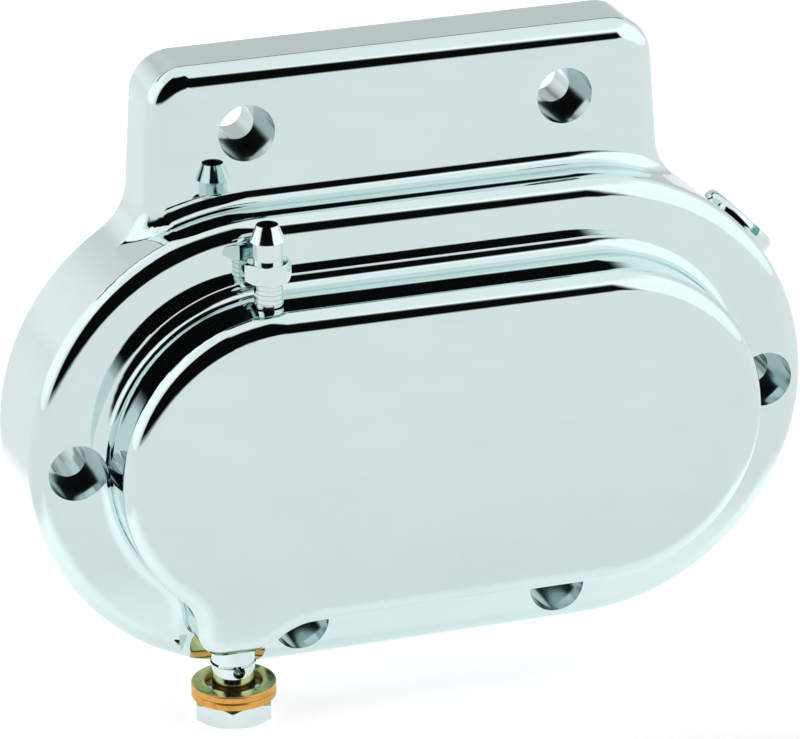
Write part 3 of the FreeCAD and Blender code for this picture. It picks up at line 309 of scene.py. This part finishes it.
def aim_camera():
    azimuth, elevation = math.radians(CAMERA_AZIMUTH), math.radians(CAMERA_ELEVATION)
    roll = math.radians(CAMERA_ROLL)
    back = Vector((math.sin(azimuth) * math.cos(elevation),
                   -math.cos(azimuth) * math.cos(elevation), math.sin(elevation)))
    right = Vector((math.cos(azimuth), math.sin(azimuth), 0.0))
    up = back.cross(right)
    across = right * math.cos(roll) + up * math.sin(roll)
    upward = up * math.cos(roll) - right * math.sin(roll)
    data = bpy.data.cameras.new("camera")
    data.sensor_width = SENSOR
    data.lens = LENS
    data.shift_x, data.shift_y = SHIFT
    data.clip_start = 0.01
    data.clip_end = 50.0
    camera = bpy.data.objects.new("camera", data)
    turn = Matrix((across, upward, back)).transposed().to_4x4()
    camera.matrix_world = Matrix.Translation(back * CAMERA_DISTANCE) @ turn
    scene.collection.objects.link(camera)
    scene.camera = camera


aim_camera()


# ---------------------------------------------------------------- cover
# Machined from one aluminium billet, polished all over and chromed; the back is left as machined.
# It carries the release cylinder, the ports and the six counterbored screw holes.
MERGE = 2e-6
FLAT_ANGLE = math.radians(0.3)
SHARP_ANGLE = math.radians(33.0)


def merged_copy(node):
    """A welded copy of a CAD node's mesh, as a bmesh."""
    work = bmesh.new()
    work.from_mesh(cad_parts[node].data)
    bmesh.ops.remove_doubles(work, verts=work.verts, dist=MERGE)
    bmesh.ops.dissolve_degenerate(work, dist=MERGE / 4, edges=work.edges)
    work.normal_update()
    work.faces.ensure_lookup_table()
    work.verts.ensure_lookup_table()
    return work


def flat_regions(work):
    """For each face, the number of the flat region it belongs to, and each region's area."""
    parent = list(range(len(work.faces)))

    def root(index):
        while parent[index] != index:
            parent[index] = parent[parent[index]]
            index = parent[index]
        return index

    for edge in work.edges:
        if len(edge.link_faces) == 2 and edge.calc_face_angle(math.pi) < FLAT_ANGLE:
            first, second = (root(face.index) for face in edge.link_faces)
            parent[first] = second
    region = [root(face.index) for face in work.faces]
    area = {}
    for face in work.faces:
        area[region[face.index]] = area.get(region[face.index], 0.0) + face.calc_area()
    return region, area


def true_normals(work):
    """A normal for each face corner that keeps flats flat and runs smoothly round curved faces."""
    region, area = flat_regions(work)
    normals = {}
    for vert in work.verts:
        waiting = set(face.index for face in vert.link_faces)
        while waiting:
            fan, front = [], [waiting.pop()]
            while front:
                index = front.pop()
                fan.append(index)
                for edge in work.faces[index].edges:
                    if vert not in edge.verts or len(edge.link_faces) != 2:
                        continue
                    if edge.calc_face_angle(math.pi) > SHARP_ANGLE:
                        continue
                    for face in edge.link_faces:
                        if face.index in waiting:
                            waiting.discard(face.index)
                            front.append(face.index)
            total, used = Vector(), set()
            for index in fan:
                if region[index] in used:
                    continue
                used.add(region[index])
                total += work.faces[index].normal * area[region[index]]
            total.normalize()
            for index in fan:
                normals[(index, vert.index)] = total
    return [normals[(face.index, loop.vert.index)] for face in work.faces for loop in face.loops]


def finished_piece(work, name, material, zones=()):
    """Turn a bmesh into an object with true normals; zones are (finish, test of a face's middle)."""
    loops = true_normals(work)
    mesh = bpy.data.meshes.new(name)
    work.to_mesh(mesh)
    work.free()
    mesh.materials.clear()
    mesh.materials.append(material)
    for finish, _ in zones:
        mesh.materials.append(finish)
    for polygon in mesh.polygons:
        polygon.use_smooth = True
        inside = [index for index, (_, test) in enumerate(zones, start=1) if test(polygon.center)]
        polygon.material_index = inside[0] if inside else 0
    mesh.normals_split_custom_set(loops)
    piece = bpy.data.objects.new(name, mesh)
    scene.collection.objects.link(piece)
    return piece


def dress(piece, body):
    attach(piece, body)
    return piece


def dressed_copy(node, name, body, material, zones=(), work=None):
    """A smooth copy of a CAD node that stands for it on its body."""
    piece = finished_piece(work or merged_copy(node), name, material, zones)
    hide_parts(node)
    return dress(piece, body)


def emboss(tree, shader, relief, strength, distance):
    """Bump from a height that varies over the surface."""
    inputs = {"Height": relief, "Strength": strength, "Distance": distance}
    connect(tree, shader, "Normal", add_node(tree, "ShaderNodeBump", inputs=inputs))


def two_shades(tree, share, tint, fade):
    """The tint and a darker shade of it, mixed by share."""
    shade = tuple(fade * c for c in tint)
    return mix_colours(tree, share, (*tint, 1.0), (*shade, 1.0))


def chrome_finish(name, tint, rough):
    """Decorative chrome: deep mirror, faint haze from handling and a trace of polishing waviness."""
    material, tree, shader = surface_material(name, Metallic=1.0)
    haze = noise(tree, 45.0, detail=5.0).ramp(0.35, 0.75)
    connect(tree, shader, "Base Color", two_shades(tree, haze, tint, 0.97))
    specks = noise(tree, 900.0, detail=2.0).ramp(0.66, 0.80)
    connect(tree, shader, "Roughness", rough + haze * (0.6 * rough) + specks * (0.8 * rough))
    emboss(tree, shader, noise(tree, 60.0, detail=1.0), 0.02, 0.2 * MM)
    return material


def machined_finish(name, tint, rough, grain):
    """Cut metal: fine tool marks stretched by grain over a stained satin base."""
    material, tree, shader = surface_material(name, Metallic=1.0)
    stain = noise(tree, 260.0).ramp(0.3, 0.8)
    connect(tree, shader, "Base Color", two_shades(tree, stain, tint, 0.90))
    marks = noise(tree, grain, detail=2.0)
    connect(tree, shader, "Roughness", rough + stain * 0.12 + marks.ramp(0.4, 0.8) * 0.08)
    emboss(tree, shader, marks, 0.14, 0.05 * MM)
    return material


# Reach of the cover's hollows, bore and screw holes, which sorts its faces by finish.
LOBE_OFFSET = 32.3 * MM
BOSS_OFFSET = 32.0 * MM
CHANNEL_REACH = 36.3 * MM
CHANNEL_FLOOR = -20.6 * MM
DEEP_REACH = 26.45 * MM
DEEP_FLOOR = -35.85 * MM
DEEP_LEFT = -4.1 * MM
CYLINDER_X = -33.45 * MM
BORE_REACH = 18.7 * MM
BORE_FLOOR = -36.05 * MM
BORE_MOUTH = -5.05 * MM
SKIN = 0.01 * MM
SCREW_REACH = 5.56 * MM
SCREW_HOLES = [(side * x * MM, z * MM) for side in (-1, 1)
               for x, z in ((69.55, 0.0), (26.2, -37.55), (31.7, 59.55))]


def off_middle(spot, offset):
    """Distance from the line between two lobe centres."""
    return math.hypot(max(abs(spot.x) - offset, 0.0), spot.z)


def in_screw_hole(spot):
    beside = min(math.hypot(spot.x - x, spot.z - z) for x, z in SCREW_HOLES)
    return beside < SCREW_REACH and spot.y < -SKIN


def in_bore(spot):
    beside = math.hypot(spot.x - CYLINDER_X, spot.z)
    return beside < BORE_REACH and BORE_FLOOR < spot.y < BORE_MOUTH


def in_back(spot):
    """True on the mounting face and in the hollows behind it."""
    in_channel = off_middle(spot, LOBE_OFFSET) < CHANNEL_REACH and spot.y > CHANNEL_FLOOR
    in_lobe = off_middle(spot, BOSS_OFFSET) < DEEP_REACH and spot.y > DEEP_FLOOR
    return spot.y > -SKIN or in_channel or (in_lobe and spot.x > DEEP_LEFT)


CHROME_TINT = (0.675, 0.80, 0.795)
# The screw holes get a darker chrome tint than the rest of the cover: painted shade inside the holes.
# Their chrome is also rougher.
SHADED_HOLE_TINT = (0.56, 0.67, 0.67)
ALUMINIUM = (0.60, 0.605, 0.61)
cover_chrome = chrome_finish("cover_chrome", CHROME_TINT, 0.02)
hole_chrome = chrome_finish("hole_chrome", SHADED_HOLE_TINT, 0.10)
honed_bore = machined_finish("honed_bore", ALUMINIUM, 0.16, (900.0, 4200.0, 900.0))
milled_back = machined_finish("milled_back", ALUMINIUM, 0.32, (420.0, 420.0, 2600.0))
dressed_copy("cover_body", "cover", "cover", cover_chrome,
             [(hole_chrome, in_screw_hole), (honed_bore, in_bore), (milled_back, in_back)])


# ---------------------------------------------------------------- bleeder screw
# Plated steel screw with a hexagon and a barbed nipple for the bleeding hose.
# Its rolled thread is one ridge wound round the core, fading out at both ends.
RIDGE_STEPS = 72
FLANK = 0.46
CREST = 0.07
ROOT = 0.15
SHARP_THREAD = math.radians(25.0)
THREAD_INPUTS = [("Core", "Float"), ("Pitch", "Float"), ("Turns", "Float"), ("Depth", "Float"),
                 ("Foot", "Vector"), ("Lean", "Float"), ("Finish", "Material")]


def thread_tree():
    """Geometry Nodes tree for a screw thread: a ridge on a spiral, stood where the screw is."""
    tree = bpy.data.node_groups.new("screw_thread", "GeometryNodeTree")
    for name, kind in THREAD_INPUTS:
        tree.interface.new_socket(name=name, in_out="INPUT", socket_type=f"NodeSocket{kind}")
    tree.interface.new_socket(name="Thread", in_out="OUTPUT", socket_type="NodeSocketGeometry")
    given = tree.nodes.new("NodeGroupInput").outputs
    core, pitch, turns, depth, foot, lean, finish = (
        Signal(tree, given[name]) for name, _ in THREAD_INPUTS)

    def corner(across, along):
        return add_node(tree, "ShaderNodeCombineXYZ", inputs={"X": across, "Y": along})

    spiral = add_node(tree, "GeometryNodeCurveSpiral", inputs={
        "Resolution": RIDGE_STEPS, "Rotations": turns, "Start Radius": core, "End Radius": core,
        "Height": pitch * turns})
    upright = add_node(tree, "GeometryNodeSetCurveNormal", {"mode": "Z_UP"}, {"Curve": spiral})
    profile = add_node(tree, "GeometryNodeCurvePrimitiveQuadrilateral", {"mode": "POINTS"}, {
        "Point 1": corner(depth * -ROOT, pitch * -FLANK), "Point 2": corner(depth, pitch * -CREST),
        "Point 3": corner(depth, pitch * CREST), "Point 4": corner(depth * -ROOT, pitch * FLANK)})
    wound = add_node(tree, "GeometryNodeSplineParameter") * turns
    fade = wound.least(turns - wound).least(1.0).most(0.02)
    ridge = add_node(tree, "GeometryNodeCurveToMesh", inputs={
        "Curve": upright, "Profile Curve": profile, "Scale": fade, "Fill Caps": True})
    angles = add_node(tree, "ShaderNodeCombineXYZ", inputs={"Y": lean})
    stood = add_node(tree, "GeometryNodeTransform",
                     inputs={"Geometry": ridge, "Translation": foot, "Rotation": angles})
    whole = add_node(tree, "GeometryNodeRealizeInstances", inputs={"Geometry": stood})
    done = add_node(tree, "GeometryNodeSetMaterial", inputs={"Geometry": whole, "Material": finish})
    result = tree.nodes.new("NodeGroupOutput")
    tree.links.new(done.socket, result.inputs["Thread"])
    return tree


def grown(name, tree, **given):
    """The plain mesh object that a Geometry Nodes tree makes from its named inputs."""
    piece = new_mesh_object(name, [], [])
    modifier = piece.modifiers.new("growth", "NODES")
    modifier.node_group = tree
    for item in tree.interface.items_tree:
        if item.name in given:
            modifier[item.identifier] = given[item.name]
    depsgraph = bpy.context.evaluated_depsgraph_get()
    mesh = bpy.data.meshes.new_from_object(piece.evaluated_get(depsgraph), depsgraph=depsgraph)
    piece.modifiers.remove(modifier)
    piece.data = mesh
    work = bmesh.new()
    work.from_mesh(mesh)
    bmesh.ops.remove_doubles(work, verts=work.verts, dist=MERGE / 4)
    bmesh.ops.recalc_face_normals(work, faces=work.faces)
    work.to_mesh(mesh)
    work.free()
    for polygon in mesh.polygons:
        polygon.use_smooth = True
    mesh.set_sharp_from_angle(angle=SHARP_THREAD)
    return piece


def slimmed(node, centre, axis, thread, core):
    """A welded copy of a screw with its threaded stretch taken down to the thread's core."""
    work = merged_copy(node)
    for vert in work.verts:
        offset = vert.co - centre
        along = axis * offset.dot(axis)
        beside = offset - along
        if abs(beside.length - thread) < SKIN:
            vert.co = centre + along + beside * (core / thread)
    work.normal_update()
    return work


def dressed_screw(node, name, material, seat, axis, thread, core, pitch, ends, lean=0.0):
    """A screw's smooth copy with its thread's ridge wound on, both riding the body of its name."""
    work = slimmed(node, seat, axis, thread, core)
    dressed_copy(node, name, name, material, work=work)
    low, high = ends
    ridge = grown(f"{name}_thread", screw_thread, Core=core, Pitch=pitch,
                  Turns=(high - low) / pitch, Depth=thread - core,
                  Foot=seat + axis * low, Lean=lean, Finish=material)
    dress(ridge, name)


UP = Vector((0.0, 0.0, 1.0))
PORT_Y = -33.0 * MM
BLEEDER_AXIS = Vector((CYLINDER_X, PORT_Y, 0.0))
BLEEDER_THREAD = 3.175 * MM
BLEEDER_CORE = 2.66 * MM
BLEEDER_PITCH = 0.907 * MM
BLEEDER_THREAD_ENDS = (24.8 * MM, 36.35 * MM)

plated_steel = chrome_finish("bright_zinc", (0.72, 0.81, 0.805), 0.07)
screw_thread = thread_tree()
dressed_screw("bleeder_screw", "bleeder", plated_steel, BLEEDER_AXIS, UP,
              BLEEDER_THREAD, BLEEDER_CORE, BLEEDER_PITCH, BLEEDER_THREAD_ENDS)


# ---------------------------------------------------------------- hose bolt
# Chromed hollow bolt; its cross hole feeds the ring of the hose that will sit above the washers.
# The threaded end is screwed into the port, so only the start of its thread shows.
BOLT_AXIS = Vector((-42.15 * MM, PORT_Y, 0.0))
BOLT_THREAD = 4.7625 * MM
BOLT_CORE = 4.15 * MM
BOLT_PITCH = 25.4 / 24 * MM
BOLT_THREAD_ENDS = (-36.2 * MM, -27.4 * MM)

bolt_chrome = chrome_finish("bolt_chrome", (0.70, 0.80, 0.80), 0.045)
dressed_screw("banjo_bolt", "hose_bolt", bolt_chrome, BOLT_AXIS, UP,
              BOLT_THREAD, BOLT_CORE, BOLT_PITCH, BOLT_THREAD_ENDS)


# ---------------------------------------------------------------- washers
# Two flat steel washers, yellow passivated: olive on the faces and orange on the worn rims.
# Punched from sheet, so their edges are a little rounded.
WASHER_STEPS = 160
CORNER_STEPS = 5
WASHER_ROUND = 0.3 * MM


def rounded_section(low, high):
    """A rectangle in (radius, height) with its four corners rounded, anticlockwise."""
    corners = ((high[0], low[1], -90), (high[0], high[1], 0),
               (low[0], high[1], 90), (low[0], low[1], 180))
    points = []
    for radius, level, start in corners:
        middle = (radius - math.copysign(WASHER_ROUND, radius - (low[0] + high[0]) / 2),
                  level - math.copysign(WASHER_ROUND, level - (low[1] + high[1]) / 2))
        for step in range(CORNER_STEPS + 1):
            turn = math.radians(start + 90 * step / CORNER_STEPS)
            points.append((middle[0] + WASHER_ROUND * math.cos(turn),
                           middle[1] + WASHER_ROUND * math.sin(turn)))
    return points


def turned_ring(name, section, centre, material):
    """A closed (radius, height) section swept once round a vertical axis."""
    verts = []
    for step in range(WASHER_STEPS):
        turn = 2 * math.pi * step / WASHER_STEPS
        verts += [(centre.x + radius * math.cos(turn), centre.y + radius * math.sin(turn), level)
                  for radius, level in section]
    size, count = len(section), len(section) * WASHER_STEPS
    faces = []
    for step in range(WASHER_STEPS):
        here, there = step * size, (step + 1) * size % count
        for index in range(size):
            following = (index + 1) % size
            faces.append((here + index, there + index, there + following, here + following))
    ring = new_mesh_object(name, verts, faces)
    ring.data.materials.append(material)
    for polygon in ring.data.polygons:
        polygon.use_smooth = True
    return ring


STRAW = (0.62, 0.49, 0.20, 1.0)
OLIVE = (0.52, 0.56, 0.24, 1.0)
ORANGE = (0.72, 0.36, 0.085, 1.0)
RUST = (0.55, 0.26, 0.05, 1.0)


def passivated_finish(name):
    """Yellow passivation: olive faces with green bloom, orange rims, fine scratches."""
    material, tree, shader = surface_material(name, Metallic=1.0)
    facing = object_axis(tree, 2, output=1)
    rim = (facing * facing).ramp(0.75, 0.15)
    bloom = noise(tree, 260.0, detail=3.0).ramp(0.42, 0.62)
    streak = noise(tree, 700.0, detail=4.0).ramp(0.45, 0.75)
    face = mix_colours(tree, bloom, STRAW, OLIVE)
    edge = mix_colours(tree, streak, ORANGE, RUST)
    connect(tree, shader, "Base Color", mix_colours(tree, rim, face, edge))
    connect(tree, shader, "Roughness", 0.20 + streak * 0.16 + rim * 0.08)
    emboss(tree, shader, streak, 0.2, 0.03 * MM)
    return material


washer_metal = passivated_finish("yellow_passivated")
WASHER_INNER = 5.45 * MM
WASHER_OUTER = 8.2 * MM
for side in ("upper", "lower"):
    node = f"banjo_washer_{side}"
    low_corner, high_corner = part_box(node)
    section = rounded_section((WASHER_INNER, low_corner[2]), (WASHER_OUTER, high_corner[2]))
    washer = turned_ring(f"washer_{side}", section, BOLT_AXIS, washer_metal)
    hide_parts(node)
    dress(washer, "washers")


# ---------------------------------------------------------------- filler plug and its O-ring
# Chromed plug with a coin slot, screwed into the slanting filler hole in the right lobe.
# A rubber O-ring seals it in the recess under its head.
def rubber_finish(name):
    """Moulded rubber: black, matt, with dust and a fine grain."""
    material, tree, shader = surface_material(name)
    dust = noise(tree, 300.0).ramp(0.45, 0.8)
    connect(tree, shader, "Base Color", mix_colours(tree, dust, grey(0.018), grey(0.045)))
    connect(tree, shader, "Roughness", 0.42 + dust * 0.25)
    emboss(tree, shader, noise(tree, 4000.0), 0.15, 0.1 * MM)
    return material


SLANT = math.radians(45.0)
PLUG_DIRECTION = Vector((math.sin(SLANT), 0.0, math.cos(SLANT)))
PLUG_SEAT = Vector((67.019 * MM, -12.9 * MM, 27.506 * MM))
PLUG_THREAD = 6.35 * MM
PLUG_CORE = 5.58 * MM
PLUG_PITCH = 1.27 * MM
PLUG_THREAD_ENDS = (-8.35 * MM, -1.0 * MM)

plug_chrome = chrome_finish("plug_chrome", CHROME_TINT, 0.03)
seal_rubber = rubber_finish("seal_rubber")
dressed_screw("filler_plug", "plug", plug_chrome, PLUG_SEAT, PLUG_DIRECTION,
              PLUG_THREAD, PLUG_CORE, PLUG_PITCH, PLUG_THREAD_ENDS, lean=SLANT)
dressed_copy("filler_plug_o_ring", "plug_o_ring", "plug_seal", seal_rubber)


# ---------------------------------------------------------------- release cylinder's inside
# Hard-anodised piston with three rubber rings, pressed bearing, and the button for the clutch rod.
# A circlip keeps the piston in, and a coil spring behind it takes up the slack.
# Tool marks to the metre: the same each way, or drawn out along the bore's axis.
EVEN = 2500.0
TURNED = (1500.0, 90.0, 1500.0)
anodised = machined_finish("hard_anodised", (0.50, 0.49, 0.44), 0.34, TURNED)
spring_steel = machined_finish("spring_steel", (0.36, 0.36, 0.38), 0.30, EVEN)
bearing_steel = machined_finish("bearing_steel", (0.70, 0.70, 0.71), 0.16, TURNED)
cage_brass = machined_finish("cage_brass", (0.78, 0.58, 0.30), 0.28, EVEN)
hardened_steel = machined_finish("hardened_steel", (0.34, 0.34, 0.36), 0.26, TURNED)

INSIDE = [
    ("slave_piston", "piston_body", "piston", "anodised_piston", anodised),
    ("primary_seal", "main_seal", "piston", "seal_rubber", seal_rubber),
    ("secondary_seal", "second_seal", "piston", "seal_rubber", seal_rubber),
    ("wiper_ring", "wiper", "piston", "seal_rubber", seal_rubber),
    ("bearing_outer_race", "outer_race", "piston", "bearing_steel", bearing_steel),
    ("bearing_shield", "shield", "piston", "bearing_steel", bearing_steel),
    ("piston_retaining_ring", "circlip", "cover", "spring_steel", spring_steel),
    ("bearing_inner_race", "inner_race", "button", "bearing_steel", bearing_steel),
    ("pushrod_button", "rod_button", "button", "hardened_steel", hardened_steel),
    ("button_retaining_ring", "snap_ring", "button", "spring_steel", spring_steel),
    ("bearing_balls", "balls", "ball_cage", "bearing_steel", bearing_steel),
    ("bearing_cage", "cage", "ball_cage", "cage_brass", cage_brass),
]
for node, name, body, slot, material in INSIDE:
    dressed_copy(node, name, body, material)

# The spring stands on the bore's floor; in use it shortens by the piston's travel, but this copy rides
# the cover at one length.
spring = dressed_copy("return_spring", "coil_spring", "cover", spring_steel)
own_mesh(spring)
